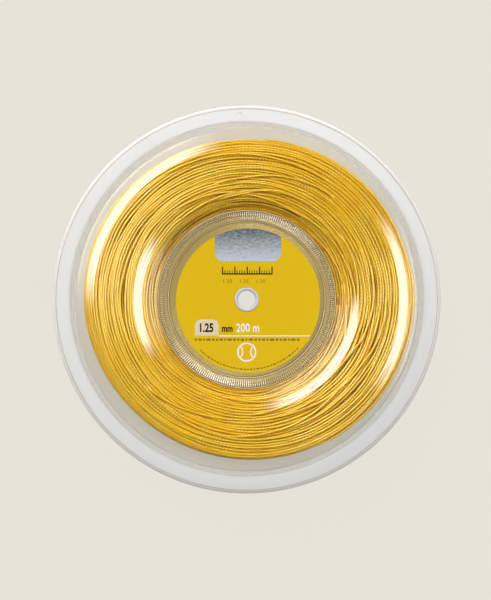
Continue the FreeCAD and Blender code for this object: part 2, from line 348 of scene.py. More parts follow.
def ramp(tree, fac, stops):
    """Colour ramp from (place, colour) stops."""
    node = tree.nodes.new("ShaderNodeValToRGB")
    elements = node.color_ramp.elements
    while len(elements) < len(stops):
        elements.new(0.5)
    for element, (place, shade) in zip(elements, stops):
        element.position = place
        element.color = (*shade, 1.0)
    tree.links.new(fac, node.inputs["Fac"])
    return node.outputs["Color"]


def spread(tree, value, low, high, start=0.0, end=1.0, kind="LINEAR"):
    """Map the values from start to end onto the range from low to high."""
    node = tree.nodes.new("ShaderNodeMapRange")
    node.interpolation_type = kind
    for name, number in (("From Min", start), ("From Max", end), ("To Min", low), ("To Max", high)):
        node.inputs[name].default_value = number
    tree.links.new(value, node.inputs["Value"])
    return node.outputs["Result"]


def maths(tree, kind, a, b=None):
    node = tree.nodes.new("ShaderNodeMath")
    node.operation = kind
    for socket, value in zip(node.inputs, (a, b)):
        if isinstance(value, (int, float)):
            socket.default_value = value
        elif value is not None:
            tree.links.new(value, socket)
    return node.outputs["Value"]


def mixed_colours(tree, share, a, b):
    """Blend of a colour socket and a plain colour, all b where the share is 1."""
    node = tree.nodes.new("ShaderNodeMix")
    node.data_type = "RGBA"
    tree.links.new(share, node.inputs["Factor"])
    tree.links.new(a, node.inputs["A"])
    node.inputs["B"].default_value = (*b, 1.0)
    return node.outputs["Result"]


def mixed_shaders(tree, share, a, b, output):
    """Send the blend of two shaders to the output, all b where the share is 1."""
    node = tree.nodes.new("ShaderNodeMixShader")
    tree.links.new(share, node.inputs["Fac"])
    tree.links.new(a, node.inputs[1])
    tree.links.new(b, node.inputs[2])
    tree.links.new(node.outputs["Shader"], output.inputs["Surface"])


def rays(tree, kind):
    """1 for rays of the kind that a Light Path socket names."""
    return tree.nodes.new("ShaderNodeLightPath").outputs[kind]


def bumped(tree, shader, height, strength, distance):
    node = tree.nodes.new("ShaderNodeBump")
    node.inputs["Strength"].default_value = strength
    node.inputs["Distance"].default_value = distance
    tree.links.new(height, node.inputs["Height"])
    tree.links.new(node.outputs["Normal"], shader.inputs["Normal"])


def places(tree):
    return tree.nodes.new("ShaderNodeTexCoord").outputs["Object"]


def axes(tree, vector):
    node = tree.nodes.new("ShaderNodeSeparateXYZ")
    tree.links.new(vector, node.inputs["Vector"])
    return node.outputs


def distance_from_axis(tree, here):
    x, y, _ = axes(tree, here)
    squares = maths(tree, "ADD", maths(tree, "MULTIPLY", x, x), maths(tree, "MULTIPLY", y, y))
    return maths(tree, "SQRT", squares)


def moulded_plastic(name, clarity, lets_through):
    """Plastic of which the given share is clear, and which lets the lamps through to what lies below."""
    material, tree, shader, output = new_material(name)
    shader.inputs["Transmission Weight"].default_value = clarity
    shader.inputs["IOR"].default_value = CLEAR_PLASTIC_IOR
    through = tree.nodes.new("ShaderNodeBsdfTransparent")
    through.inputs["Color"].default_value = (*lets_through, 1.0)
    mixed_shaders(tree, rays(tree, "Is Shadow Ray"), shader.outputs["BSDF"], through.outputs["BSDF"], output)
    return material, tree, shader


def clear_material(name, base, roughness):
    """Clear polished plastic with a faint unevenness in its gloss."""
    material, tree, shader = moulded_plastic(name, 1.0, (0.965, 0.965, 0.96))
    shader.inputs["Base Color"].default_value = (*base, 1.0)
    uneven = noise(tree, places(tree), 40.0)
    tree.links.new(spread(tree, uneven, roughness * 0.5, roughness * 1.5), shader.inputs["Roughness"])
    return material


def milky_material(name, base, clarity, painted_shade_factor=1.0, line=None, line_r=0.0, gloss=0.5):
    """Slightly milky plastic with random cloud, painted lighter towards the upper left and darker towards the
    lower right, with a painted shade line round it where one is named.
    """
    material, tree, shader = moulded_plastic(name, clarity, (0.90, 0.90, 0.90))
    here = places(tree)
    cloud = noise(tree, here, 60.0)
    x, y, _ = axes(tree, here)
    # Painted light: the colour is fullest towards the upper left, where the light comes from, and darkened by
    # the painted shade factor towards the lower right; the random cloud is the plastic's own.
    painted_light_side = maths(tree, "ADD", maths(tree, "MULTIPLY", x, -0.2), maths(tree, "MULTIPLY", y, 0.98))
    rise = spread(tree, painted_light_side, 0.0, 0.9, -90 * MM, 80 * MM)
    painted_light_and_cloud = maths(tree, "ADD", rise, maths(tree, "MULTIPLY", cloud, 0.12))
    shade = ramp(tree, painted_light_and_cloud, [(0.0, scaled(base, painted_shade_factor)), (1.0, base)])
    # The tan line is painted shade, standing in for the lip's inner wall seen edge on.
    if line:
        off = maths(tree, "ABSOLUTE", maths(tree, "SUBTRACT", distance_from_axis(tree, here), line_r))
        on_shade_line = spread(tree, off, 1.0, 0.0, 0.10 * MM, 0.34 * MM, "SMOOTHSTEP")
        shade = mixed_colours(tree, on_shade_line, shade, line)
    tree.links.new(shade, shader.inputs["Base Color"])
    tree.links.new(spread(tree, cloud, 0.02, 0.06), shader.inputs["Roughness"])
    shader.inputs["Specular IOR Level"].default_value = gloss
    return material


def string_material(name, base, side, nub_glint):
    """Golden monofilament with raised nubs in rows along it, painted pale on top as painted glints, and
    painted shade: deeper gold where strands meet.
    """
    material, tree, shader, _ = new_material(name)
    uv = tree.nodes.new("ShaderNodeUVMap")
    uv.uv_map = "along"
    u, v, _ = axes(tree, uv.outputs["UV"])
    # Painted light and shade across each strand: a little lighter where it faces away from its neighbours,
    # and a painted shade of deeper gold on its sides, where neighbouring strands meet.
    painted_light_facing = maths(tree, "ABSOLUTE", maths(tree, "SINE", maths(tree, "MULTIPLY", v, TAU)))
    tint = noise(tree, places(tree), 130.0, 2.0)
    shade = maths(tree, "ADD", painted_light_facing, spread(tree, tint, -0.16, 0.16, 0.3, 0.7))
    gold = ramp(tree, shade, [(0.15, side), (0.78, base), (1.0, scaled(base, 1.06))])
    wave = maths(tree, "SINE", maths(tree, "MULTIPLY", u, TAU / NUB_STEP))
    along = spread(tree, wave, 0.0, 1.0, 0.2, 0.95, "SMOOTHSTEP")
    # Painted glints: the raised nubs are real, but their pale colour is painted, in patches and only on the
    # strands' upper sides.
    patches = spread(tree, noise(tree, places(tree), 55.0, 2.0), 0.15, 1.0, 0.42, 0.60, "SMOOTHSTEP")
    painted_glint_top = spread(tree, painted_light_facing, 0.0, 0.9, 0.70, 0.98, "SMOOTHSTEP")
    nubs = maths(tree, "MULTIPLY", maths(tree, "MULTIPLY", along, patches), painted_glint_top)
    tree.links.new(mixed_colours(tree, nubs, gold, nub_glint), shader.inputs["Base Color"])
    shader.inputs["Roughness"].default_value = 0.22
    shader.inputs["IOR"].default_value = STRING_IOR
    shader.inputs["Specular IOR Level"].default_value = 1.0
    shader.inputs["Specular Tint"].default_value = (1.0, 0.90, 0.50, 1.0)
    bumped(tree, shader, along, 1.0, 0.04 * MM)
    return material


def grained(tree, shader, base, speck, grain):
    """Give a shader its colour, darker and lighter by the grain's share where the speck is low and high."""
    stops = [(0.3, scaled(base, 1 - grain)), (0.7, scaled(base, 1 + grain))]
    tree.links.new(ramp(tree, speck, stops), shader.inputs["Base Color"])


def grained_material(name, base, roughness, grain_scale, grain, coat=0.0, gloss=0.5):
    """A printed or moulded surface with a fine grain in its colour and its gloss."""
    material, tree, shader, _ = new_material(name)
    speck = noise(tree, places(tree), grain_scale, 4.0)
    grained(tree, shader, base, speck, grain)
    tree.links.new(spread(tree, speck, roughness * 0.85, roughness * 1.15), shader.inputs["Roughness"])
    shader.inputs["Coat Weight"].default_value = coat
    shader.inputs["Specular IOR Level"].default_value = gloss
    return material


def foil_material(base):
    """Silver foil, rubbed and scratched, darker towards its top."""
    material, tree, shader, _ = new_material("silver_foil")
    here = places(tree)
    shader.inputs["Metallic"].default_value = 0.3
    y = axes(tree, here)[1]
    scratches = noise(tree, stretched(tree, here, (420.0, 900.0, 1.0)), 1.0, 8.0, 0.8)
    height = spread(tree, y, 0.0, 1.0, FOIL_LOW.y, FOIL_HIGH.y)
    # Scratches, and darker towards the patch's top.
    scratches_and_top_darkening = maths(tree, "SUBTRACT", maths(tree, "ADD", scratches, 0.16), maths(tree, "MULTIPLY", height, 0.44))
    stops = [(0.22, scaled(base, 0.22)), (0.40, scaled(base, 0.62)), (0.58, base), (0.80, scaled(base, 1.2))]
    tree.links.new(ramp(tree, scratches_and_top_darkening, stops), shader.inputs["Base Color"])
    tree.links.new(spread(tree, scratches, 0.35, 0.6), shader.inputs["Roughness"])
    bumped(tree, shader, scratches, 0.5, 0.1 * MM)
    return material


def tab_material(base, stripe):
    """Pale printed tab with fine diagonal stripes."""
    material, tree, shader, _ = new_material("striped_tab")
    x, y, _ = axes(tree, places(tree))
    slant = maths(tree, "MULTIPLY", maths(tree, "ADD", x, y), TAU / STRIPE_STEP)
    wave = spread(tree, maths(tree, "SINE", slant), 0.0, 1.0, -1.0, 1.0)
    tree.links.new(ramp(tree, wave, [(0.55, base), (0.75, stripe)]), shader.inputs["Base Color"])
    shader.inputs["Roughness"].default_value = 0.5
    return material


# Flanges

# Small bends of the moulding's section, and the short faces that keep the dome's corner crisp
SMALL_BEND = 0.4 * MM
CORNER_FACE = 0.1 * MM
# Room between the barrel and the snap ring's seat, and the snap ring's own outer face inside the barrel
BARREL_ROOM = 0.3 * MM
SNAP_INSET = 1.7 * MM
# The snap ring's bead: its height, its half width and its middle above the ring's foot
BEAD_H = 0.4 * MM
BEAD_HALF = 0.8 * MM
BEAD_UP = 1.3 * MM
STRING_HOLE_AZIMUTH = 92.3


def dome_drop(sizes, r, depth):
    """How far the dome lies below the brim's plane at radius r, depth under its outer skin."""
    bend = sizes.dome_bend_r - depth
    return sizes.crown_drop + depth + bend - np.sqrt(bend ** 2 - (r - sizes.crown_r) ** 2)


def flange_outline(sizes):
    """Closed section of the front flange, as (radius, height) points."""
    top = sizes.width
    wall = sizes.wall
    brim_outer = sizes.rim_r - sizes.lip_w
    brim_inner = brim_outer - sizes.brim_w
    step_foot = brim_inner - sizes.step_run
    dome_outer = step_foot - sizes.valley_w
    cone_top = sizes.barrel_r - sizes.land_w
    cone_foot = cone_top - sizes.cone_run
    land = top - dome_drop(sizes, sizes.barrel_r, 0.0)
    valley = top - dome_drop(sizes, dome_outer, 0.0)
    floor = top - sizes.floor_drop
    rise = (land - floor) / sizes.cone_run
    lip_foot = top - sizes.lip_depth + sizes.lip_w / 2

    outside = [(sizes.hub_hole_r, floor)]
    outside += fillet((sizes.hub_hole_r, floor), (cone_foot, floor), (cone_top, land), sizes.floor_bend_r)
    outside += [(cone_top, land), (sizes.barrel_r, land)]
    for r in np.linspace(sizes.barrel_r + 0.6 * MM, dome_outer - CORNER_FACE, 30):
        outside.append((r, top - dome_drop(sizes, r, 0.0)))
    outside.append((dome_outer + CORNER_FACE, valley))
    outside += fillet((dome_outer, valley), (step_foot, valley), (brim_inner, top), SMALL_BEND, 3)
    outside += fillet((step_foot, valley), (brim_inner, top), (brim_outer, top), SMALL_BEND, 3)
    outside += arc_points((brim_outer, top - sizes.lip_w), sizes.lip_w, 90, 0, 7)
    outside += arc_points((sizes.rim_r - sizes.lip_w / 2, lip_foot), sizes.lip_w / 2, 0, -180, 7)

    step_rise = (top - valley) / sizes.step_run
    shift = wall * math.hypot(1.0, 1 / step_rise)
    under_brim = (brim_inner + shift - wall / step_rise, top - wall)
    under_valley = (brim_inner + shift - (top - valley + wall) / step_rise, valley - wall)
    inner_bend = sizes.dome_bend_r - wall
    fall = top - valley - sizes.crown_drop
    dome_end = sizes.crown_r + math.sqrt(inner_bend ** 2 - (inner_bend - fall) ** 2)
    seat_r = sizes.barrel_r + BARREL_ROOM
    seat = top - dome_drop(sizes, seat_r, wall)
    snap_r = sizes.barrel_r - SNAP_INSET
    snap_inner = snap_r - wall
    snap_foot = seat - sizes.snap_reach
    bead = snap_foot + BEAD_UP
    cone_shift = wall * math.hypot(1.0, 1 / rise)

    def under_cone(r):
        return land + (r - cone_top - cone_shift) * rise

    inside = fillet((brim_outer, lip_foot), (brim_outer, top - wall), under_brim, 0.5 * MM, 3)
    inside += fillet((brim_outer, top - wall), under_brim, under_valley, SMALL_BEND, 3)
    inside += fillet(under_brim, under_valley, (dome_end, valley - wall), SMALL_BEND, 3)
    inside.append((dome_end + 2 * CORNER_FACE, valley - wall))
    for r in np.linspace(dome_end, seat_r, 30):
        inside.append((r, top - dome_drop(sizes, r, wall)))
    inside += [(snap_r, seat), (snap_r, bead + BEAD_HALF), (snap_r + BEAD_H, bead)]
    inside += [(snap_r, bead - BEAD_HALF), (snap_r, snap_foot)]
    inside += [(snap_inner, snap_foot), (snap_inner, under_cone(snap_inner))]
    floor_under = floor - wall
    inside.append((cone_top + cone_shift - (land - floor_under) / rise, floor_under))
    inside += [(sizes.floor_rib_r, floor_under), (sizes.hub_hole_r, floor_under)]
    return outside + inside


def ripple_floor(obj, sizes):
    """Push every other column of the hub floor's underside down, as faint radial ribs."""
    co = np.zeros(len(obj.data.vertices) * 3)
    obj.data.vertices.foreach_get("co", co)
    co = co.reshape(-1, 3)
    r = np.hypot(co[:, 0], co[:, 1])
    column = np.round(np.arctan2(co[:, 1], co[:, 0]) * 2 * sizes.rib_count / TAU).astype(int)
    tiny = 1e-5
    under_floor = (np.abs(co[:, 2] - sizes.width + sizes.floor_drop + sizes.wall) < tiny)
    under_floor &= r > sizes.floor_rib_r - tiny
    co[:, 2] -= np.where(under_floor & (column % 2 != 0), sizes.floor_rib_h, 0.0)
    obj.data.vertices.foreach_set("co", co.ravel())
    obj.data.update()


def cone_ribs(sizes):
    """Fine ribs round the cup's cone, and thin beads round its foot and head, set a little in the plastic."""
    foot = sizes.barrel_r - sizes.land_w - sizes.cone_run
    floor = sizes.width - sizes.floor_drop
    land = sizes.width - dome_drop(sizes, sizes.barrel_r, 0.0)
    slope = math.atan2(land - floor, sizes.cone_run)
    near, far = 1.2 * MM, sizes.cone_run / math.cos(slope) - 0.2 * MM
    sunk = -0.1 * MM
    # A rib's width at its crest and at its inner end, as shares of the width at its foot and outer end
    crest, inner_end = 0.56, 0.7
    nothing_selected()
    bpy.ops.mesh.primitive_cube_add(size=1.0)
    rib = bpy.context.active_object
    for vertex in rib.data.vertices:
        outward, upper = vertex.co.x > 0, vertex.co.z > 0
        run = far if outward else near
        lift = sizes.rib_h if upper else sunk
        half = sizes.rib_w / 2 * (crest if upper else 1.0) * (1.0 if outward else inner_end)
        vertex.co = (foot + run * math.cos(slope) - lift * math.sin(slope), math.copysign(half, vertex.co.y),
                     floor + run * math.sin(slope) + lift * math.cos(slope))
    bpy.ops.object.mode_set(mode="EDIT")
    bpy.ops.mesh.select_all(action="SELECT")
    bpy.ops.mesh.spin(steps=sizes.rib_count - 1, dupli=True, angle=TAU * (1 - 1 / sizes.rib_count),
                      center=(0, 0, 0), axis=(0, 0, 1))
    bpy.ops.object.mode_set(mode="OBJECT")
    foot_bead = spun([(foot - 0.22 * MM, floor + sunk), (foot + 0.22 * MM, floor + sunk),
                      (foot + 0.22 * MM, floor + 0.22 * MM), (foot, floor + 0.16 * MM)], steps=180)
    head = sizes.barrel_r - sizes.land_w + 0.4 * MM
    head_bead = spun([(head - 0.25 * MM, land + sunk), (head + 0.25 * MM, land + sunk),
                      (head + 0.10 * MM, land + 0.16 * MM), (head - 0.10 * MM, land + 0.16 * MM)], steps=180)
    return joined([rib, foot_bead, head_bead])


def drill_string_hole(obj, sizes):
    """Cut the small hole with its wide mouth through the front brim."""
    r = sizes.rim_r - sizes.lip_w - sizes.string_hole_inset
    angle = math.radians(STRING_HOLE_AZIMUTH)
    x, y = r * math.cos(angle), r * math.sin(angle)
    nothing_selected()
    bpy.ops.mesh.primitive_cylinder_add(vertices=24, radius=sizes.string_hole_r, depth=4 * MM,
                                        location=(x, y, sizes.width - MM))
    cut_by_new(obj)
    nothing_selected()
    bpy.ops.mesh.primitive_cone_add(vertices=24, radius1=sizes.string_hole_r * 0.8,
                                    radius2=sizes.string_hole_mouth * 1.1, depth=1.1 * MM,
                                    location=(x, y, sizes.width - 0.1 * MM))
    cut_by_new(obj)


class REEL_OT_flanges(bpy.types.Operator):
    """Clear dished flanges, front and rear, with their ribbed hub cups."""

    bl_idname = "reel.flanges"
    bl_label = "Flanges"

    def execute(self, context):
        sizes = context.scene.reel_sizes
        finishes = context.scene.reel_finishes
        front = spun(flange_outline(sizes), steps=2 * sizes.rib_count)
        ripple_floor(front, sizes)
        rear = mirrored_copy(front, sizes.width)
        drill_string_hole(front, sizes)
        lip_from = sizes.rim_r - sizes.lip_w
        brim_from = lip_from - sizes.brim_w
        step_from = brim_from - sizes.step_run
        clear = clear_material("clear_plastic", (0.985, 0.985, 0.98), roughness=0.02)
        # The cup's gold tint is painted light from the string.
        cup = clear_material("cup_plastic", finishes.cup, roughness=0.055)
        # The brim and the step are painted darker towards the lower right, as painted shade.
        brim = milky_material("milky_brim", finishes.brim, clarity=0.42, painted_shade_factor=0.84,
                              line=finishes.brim_shade_line, line_r=lip_from - 0.1 * MM)
        step = milky_material("hazy_step", finishes.brim, clarity=0.8, painted_shade_factor=0.9)
        # Each material in the order of the mesh's slots, with the radius that its faces start from
        zones = ((clear, sizes.barrel_r + BARREL_ROOM), (brim, brim_from), (step, step_from), (cup, 0.0))
        for obj, node in ((front, "front_flange"), (rear, "rear_flange")):
            smoothed(obj, degrees=18)
            finished(obj, node + "_clear", clear, "clear_plastic", node)
            for material, _ in zones[1:]:
                obj.data.materials.append(material)
            for face in obj.data.polygons:
                r = face.center.xy.length
                starts = [(start, slot) for slot, (_, start) in enumerate(zones) if r > start]
                face.material_index = max(starts)[1]
            obj.visible_diffuse = False
        # The ribs' pale gold colour is painted light.
        ribbed = milky_material("ribbed_cup", finishes.ribs, clarity=0.40, gloss=1.0)
        ribs = cone_ribs(sizes)
        rear_ribs = mirrored_copy(ribs, sizes.width)
        finished(ribs, "front_cup_ribs", ribbed, "clear_plastic", "front_flange")
        finished(rear_ribs, "rear_cup_ribs", ribbed, "clear_plastic", "rear_flange")
        gathered("cup_ribs", ribs, rear_ribs)
        return {"FINISHED"}


# Winding


def tube_mesh(name, paths, radius, faces_up=True, sides=8):
    """Closed tubes along the paths, with a map in metres along, and turns around from the covered side."""
    verts, faces, uvs, caps = [], [], [], []
    base = 0
    angles = np.arange(sides) * TAU / sides
    for path in paths:
        path = np.asarray(path)
        tangent = np.gradient(path, axis=0)
        tangent /= np.linalg.norm(tangent, axis=1)[:, None]
        side = np.cross(tangent, (0.0, 0.0, 1.0))
        side /= np.linalg.norm(side, axis=1)[:, None]
        up = np.cross(side, tangent)
        ring = path[:, None] + radius * (np.cos(angles)[None, :, None] * side[:, None]
                                         + np.sin(angles)[None, :, None] * up[:, None])
        verts.append(ring.reshape(-1, 3))
        run = np.concatenate([[0.0], np.cumsum(np.linalg.norm(np.diff(path, axis=0), axis=1))])
        count = len(path)
        i = np.repeat(np.arange(count - 1), sides)
        j = np.tile(np.arange(sides), count - 1)
        k = (j + 1) % sides
        quads = np.stack([i * sides + j, i * sides + k, (i + 1) * sides + k, (i + 1) * sides + j], 1)
        faces.append(quads + base)
        around = np.stack([j, j + 1, j + 1, j], 1) / sides + (0.0 if faces_up else 0.25)
        along = np.stack([run[i], run[i], run[i + 1], run[i + 1]], 1)
        uvs.append(np.stack([along, around], 2).reshape(-1, 2))
        last = base + (count - 1) * sides
        caps.append(list(range(base + sides - 1, base - 1, -1)))
        caps.append(list(range(last, last + sides)))
        base += count * sides
    mesh = bpy.data.meshes.new(name)
    mesh.from_pydata(np.concatenate(verts).tolist(), [], np.concatenate(faces).tolist() + caps)
    layer = mesh.uv_layers.new(name="along")
    flat = np.zeros(len(mesh.loops) * 2)
    body = np.concatenate(uvs).ravel()
    flat[:len(body)] = body
    layer.data.foreach_set("uv", flat)
    mesh.polygons.foreach_set("use_smooth", np.ones(len(mesh.polygons), bool))
    mesh.update()
    return in_scene(name, mesh)


def round_axis(r, angle, z):
    """Points at these radii, angles and heights."""
    return np.stack([r * np.cos(angle), r * np.sin(angle), z], 1)


def eased(share):
    """A share from 0 to 1 with a slow start and a slow end."""
    return share * share * (3 - 2 * share)


def off_ends(place, span, reach):
    """0 at both ends of the span and 1 where it is more than the reach away from them."""
    return np.clip(np.minimum(place, span - place) / reach, 0, 1)


def soft_noise(rng, x, waves, shortest):
    """Sum of slow random waves along x, about 1 high."""
    total = np.zeros_like(x)
    for _ in range(waves):
        total += np.sin(x * rng.uniform(0.35, 1.0) * TAU / shortest + rng.uniform(0, TAU))
    return total / math.sqrt(waves)


# Where the turns of the front face part most: radius in metres, azimuth in degrees, half length in radians
# and width in turns
FRONT_PARTINGS = (
    (0.0725, 319, 0.26, 0.50),
    (0.0737, 292, 0.32, 0.30),
    (0.0642, 180, 0.19, 0.40),
    (0.0602, 146, 0.13, 0.35),
    (0.0737, 148, 0.14, 0.30),
    (0.0624, 99, 0.09, 0.20),
    (0.0699, 69, 0.18, 0.22),
    (0.0615, 339, 0.16, 0.35),
    (0.0608, 323, 0.20, 0.30),
    (0.0690, 345, 0.22, 0.30),
    (0.0660, 10, 0.18, 0.30),
)
# Width of the front face's other partings, drawn at random, against the rear face's
FRONT_NARROWER = 0.4
# Number of drawn partings on each side
FRONT_DRAWN, REAR_DRAWN, RIM_DRAWN = 6, 16, 4
# Strands that cross over the turns, points along a turn, and points along a radian of a crossing strand
FACE_CROSSINGS, RIM_CROSSINGS = 20, 5
FACE_POINTS_A_TURN, RIM_POINTS_A_TURN = 190, 240
FACE_POINTS_A_RADIAN, RIM_POINTS_A_RADIAN = 34, 40
# Turns lie this many string diameters apart
FACE_SPACING, RIM_SPACING = 1.02, 1.04
# Seeds of the random draws
FRONT_SEED, REAR_SEED, RIM_SEED = 11, 23, 31
# Gap between the barrel and the turns of the faces, and between it and the first layer
TURNS_OFF_BARREL = 0.3 * MM
FIRST_OFF_BARREL = 0.2 * MM
# Uneven outer edge, as waves round the reel: height in millimetres, number of waves, crest in radians
EDGE_WAVES = ((1.2, 1, 0.80), (1.1, 2, -0.47), (0.4, 3, 1.92))
# A shallow dent in the same edge: depth in millimetres and middle in radians
EDGE_DENT = (0.7, 2.3)
# Azimuth at which the turns beside the barrel lie lowest
LOWEST_AZIMUTH = 92
# The loose turn: azimuths of its ends, points, share of its length in which it comes away
LOOSE_FROM, LOOSE_TO, LOOSE_POINTS, LOOSE_CLIMB = -80, 30, 70, 0.22
# Share of a crossing strand's length in which it climbs
CROSSING_CLIMB = 0.10


class Bundles:
    """Sideways drift shared by neighbouring turns: soft waves, and places where the turns part."""

    # Least and greatest length of a wave across the turns
    WAVE = (4.5 * MM, 14 * MM)
    # Widths of the partings in turns, for every third one and for the rest, and their half length in radians
    WIDE = (0.6, 1.0)
    NARROW = (0.2, 0.4)
    HALF_LENGTH = (0.3, 0.75)

    def __init__(self, rng, size, pitch, turns, partings, waves=10):
        self.size, self.pitch = size, pitch
        self.waves = [(rng.integers(1, 6), TAU / rng.uniform(*self.WAVE), rng.uniform(0, TAU),
                       rng.choice((-1, 1))) for _ in range(waves)]
        self.partings = []
        for i in range(partings):
            turn, angle = rng.integers(2, turns - 2), rng.uniform(0, TAU)
            width = rng.uniform(*(self.WIDE if i % 3 == 0 else self.NARROW))
            half = rng.uniform(*self.HALF_LENGTH)
            self.partings.append((pitch * (turn + 0.5 + angle / TAU), angle, half, width * pitch))

    def at(self, place, angle):
        """Drift there, the room it leaves each turn (below 1 where pressed), and how far the turns part."""
        drift, crowd, parted = 0.0, 1.0, 0.0
        share = self.size / math.sqrt(len(self.waves))
        for turns, rate, phase, sign in self.waves:
            wave = turns * angle * sign + rate * place + phase
            weight = share * 35.0 / (35.0 + rate / 20)
            drift = drift + weight * np.sin(wave)
            crowd = crowd + weight * rate * np.cos(wave)
        reach = 4 * self.pitch
        for middle, centre, half, width in self.partings:
            away = np.mod(angle - centre + math.pi, TAU) - math.pi
            lens = np.clip(1 - (away / half) ** 2, 0, 1) * width
            side = place - middle - self.pitch * away / TAU
            fade = np.exp(-np.abs(side) / reach)
            drift = drift + lens * fade * np.tanh(side / (0.15 * self.pitch))
            crowd = crowd - lens * fade / reach
            parted = parted + lens / self.pitch * np.exp(-(side / (1.3 * self.pitch)) ** 2)
        return drift, crowd, parted


def crossing(start, end, angle, sweep, stations):
    """A strand that climbs over its neighbours: its angles, places and how far it is up."""
    t = np.linspace(0, 1, stations)
    up = eased(off_ends(t, 1, CROSSING_CLIMB))
    return angle + sweep * t, start + (end - start) * eased(t), up


def push_down(angles, places_at, crossings, reach):
    """How far the turns give way under the strands that cross over them, 0 to 1."""
    push = np.zeros_like(angles)
    wrapped = np.mod(angles, TAU)
    for c_angles, c_place, c_up in crossings:
        turned = np.mod(wrapped - c_angles[0], TAU)
        inside = turned < c_angles[-1] - c_angles[0]
        place = np.interp(turned, c_angles - c_angles[0], c_place)
        up = np.interp(turned, c_angles - c_angles[0], c_up)
        near = eased(np.clip((reach - np.abs(places_at - place)) / (reach * 0.5), 0, 1))
        push = np.maximum(push, np.where(inside, near * up, 0))
    return push


def edge_radius(winding, angle):
    """Outer radius of the outermost turns' middle: uneven round the reel, fullest on the right."""
    waves = sum(height * np.cos(count * angle - crest) for height, count, crest in EDGE_WAVES)
    depth, middle = EDGE_DENT
    dent = depth * np.clip(np.cos(angle - middle), 0, 1) ** 2
    return winding.outer_r - winding.string_d / 2 + (waves - dent) * MM


def face_sink(winding, place, span, angle=0.0):
    """How much lower than under the flange the turns lie: at the barrel, most at its top, and at the edge."""
    bands = 0.5 + 0.5 * np.cos(TAU * winding.band_count * place / span)
    at_top = np.clip(np.cos(angle - math.radians(LOWEST_AZIMUTH)), 0, 1) ** 2
    at_barrel = winding.barrel_sink + winding.top_sink * at_top
    return (at_barrel * np.exp(-(place / winding.barrel_reach) ** 2)
            + winding.edge_sink * np.exp(-((span - place) / winding.edge_reach) ** 2)
            + winding.band_sink * bands)


def leapfrog(total, crowd, d):
    """Level of turns that are pressed together, every other one above its neighbours."""
    tight = np.sqrt(np.clip(1 - np.clip(crowd * 1.02, 0.2, 1) ** 2, 0, None))
    return 0.5 * d * tight * np.cos(total / 2)


def face_strands(sizes, winding, seed, front):
    """Paths of the string on one face of the winding: crossing strands, turns and the turns below."""
    rng = np.random.default_rng(seed)
    d = winding.string_d
    inner = sizes.barrel_r + TURNS_OFF_BARREL + d / 2
    span = winding.outer_r - d / 2 - inner
    turns = int(span / (d * FACE_SPACING))
    bundles = Bundles(rng, winding.wander, span / turns, turns, FRONT_DRAWN if front else REAR_DRAWN)
    if front:
        bundles.partings = [(*parting[:3], parting[3] * FRONT_NARROWER) for parting in bundles.partings]
        bundles.partings += [(r - inner, math.radians(azimuth), half, width * span / turns)
                             for r, azimuth, half, width in FRONT_PARTINGS]
    depth = sizes.wall + winding.side_gap + d / 2 + winding.ride_up

    def place_on_face(share, angle, level):
        r = inner + (edge_radius(winding, angle) - d / 4 - inner) * share
        r = np.maximum(r, inner - d * 0.1)
        drop = dome_drop(sizes, r, depth) + face_sink(winding, share * span, span, angle) - level
        return round_axis(r, angle, sizes.width - drop if front else drop)

    crossings = []
    for _ in range(FACE_CROSSINGS):
        start = rng.uniform(2 * MM, span - 2 * MM)
        end = start + rng.choice((-1, 1)) * rng.uniform(3 * MM, 9 * MM)
        sweep = rng.uniform(0.7, 1.7)
        end = min(max(end, MM), span - MM)
        stations = int(sweep * FACE_POINTS_A_RADIAN)
        crossings.append(crossing(start, end, rng.uniform(0, TAU), sweep, stations))
    paths = []
    for angles, place, up in crossings:
        level = up * (d * 0.5 + winding.ride_up * 0.12) - (1 - up) * d * 0.9
        paths.append(place_on_face((place + bundles.at(place, angles)[0]) / span, angles, level))
    for layer in range(2):
        total = np.arange(0, turns * TAU, TAU / FACE_POINTS_A_TURN)
        place = span * total / total[-1] + layer * d * 0.5
        stray = winding.stray * soft_noise(rng, total, 9, 1.4)
        give = push_down(total, place, crossings, d * 1.5)
        drift, crowd, parted = bundles.at(place, total)
        share = (place + (drift * (1 - 0.5 * layer) + stray) * off_ends(place, span, 2 * d)) / span
        level = leapfrog(total, crowd, d) * (1 - layer) - give * d * 0.55
        level -= layer * (winding.layer_step + winding.gap_depth * np.clip(parted, 0, 1))
        level += 0.05 * d * soft_noise(rng, total, 5, 2.0)
        paths.append(place_on_face(share, total, level))
    return paths


